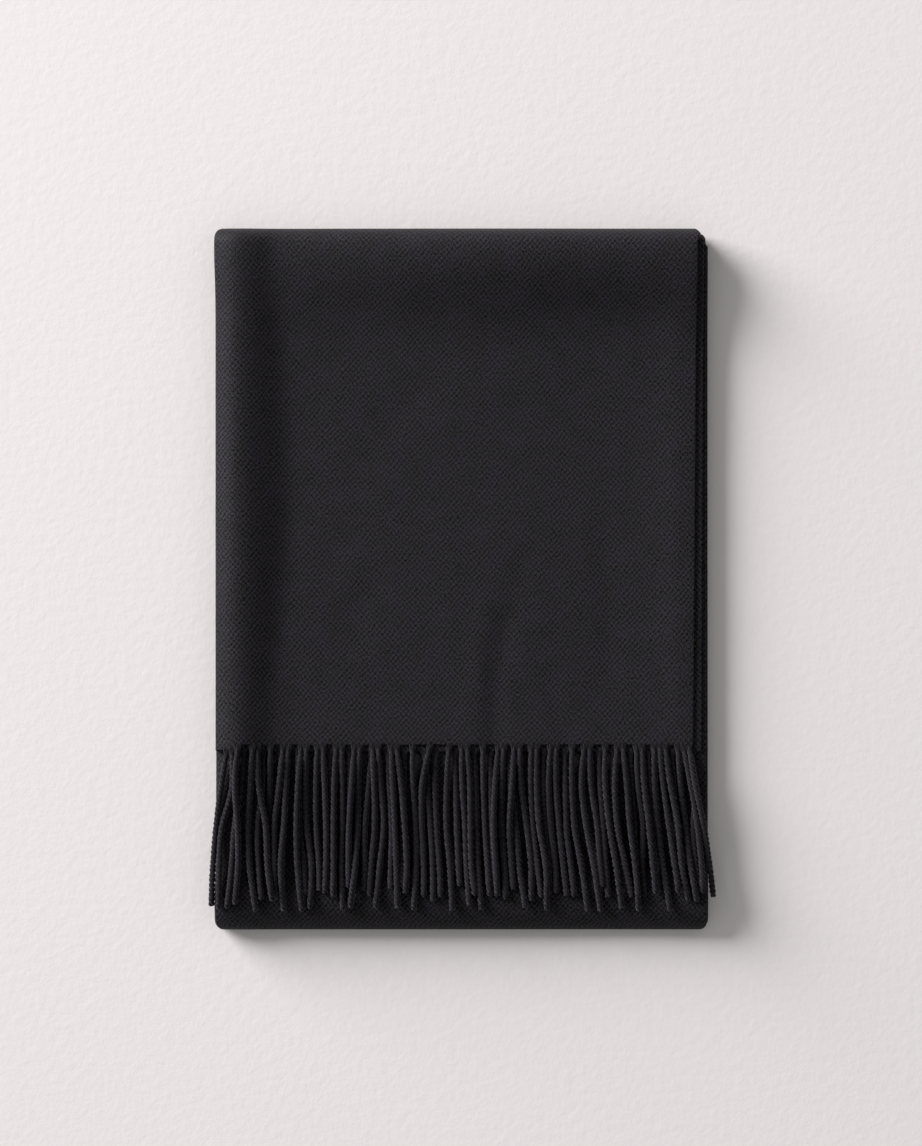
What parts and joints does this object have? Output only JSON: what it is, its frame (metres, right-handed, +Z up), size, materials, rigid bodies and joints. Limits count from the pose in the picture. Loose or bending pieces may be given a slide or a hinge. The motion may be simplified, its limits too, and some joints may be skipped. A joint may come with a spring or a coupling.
{
  "type": "winter scarf",
  "caption": "Wide wool scarf with a twisted cord fringe along its end, folded lengthwise and then across into a flat packet that lies on a surface.",
  "frame": {"origin": "on the surface that the folded scarf lies on, under the middle of its outline, cords included", "axes": "+Z up, out of the top stretch; +Y towards the far cross fold, away from the fringe; +X from the lengthwise fold towards the selvedges"},
  "size_m": [0.361, 0.5005, 0.0321],
  "materials": {
    "wool_twill": "charcoal black wool twill, lightly brushed",
    "wool_cord": "charcoal black twisted wool cord"
  },
  "bodies": {
    "root": {"top_stretch": "wool_twill", "lower_stretch": "wool_twill", "hidden_layers": "wool_twill", "fringe_upper": "wool_cord", "fringe_lower": "wool_cord"}
  },
  "joints": []
}
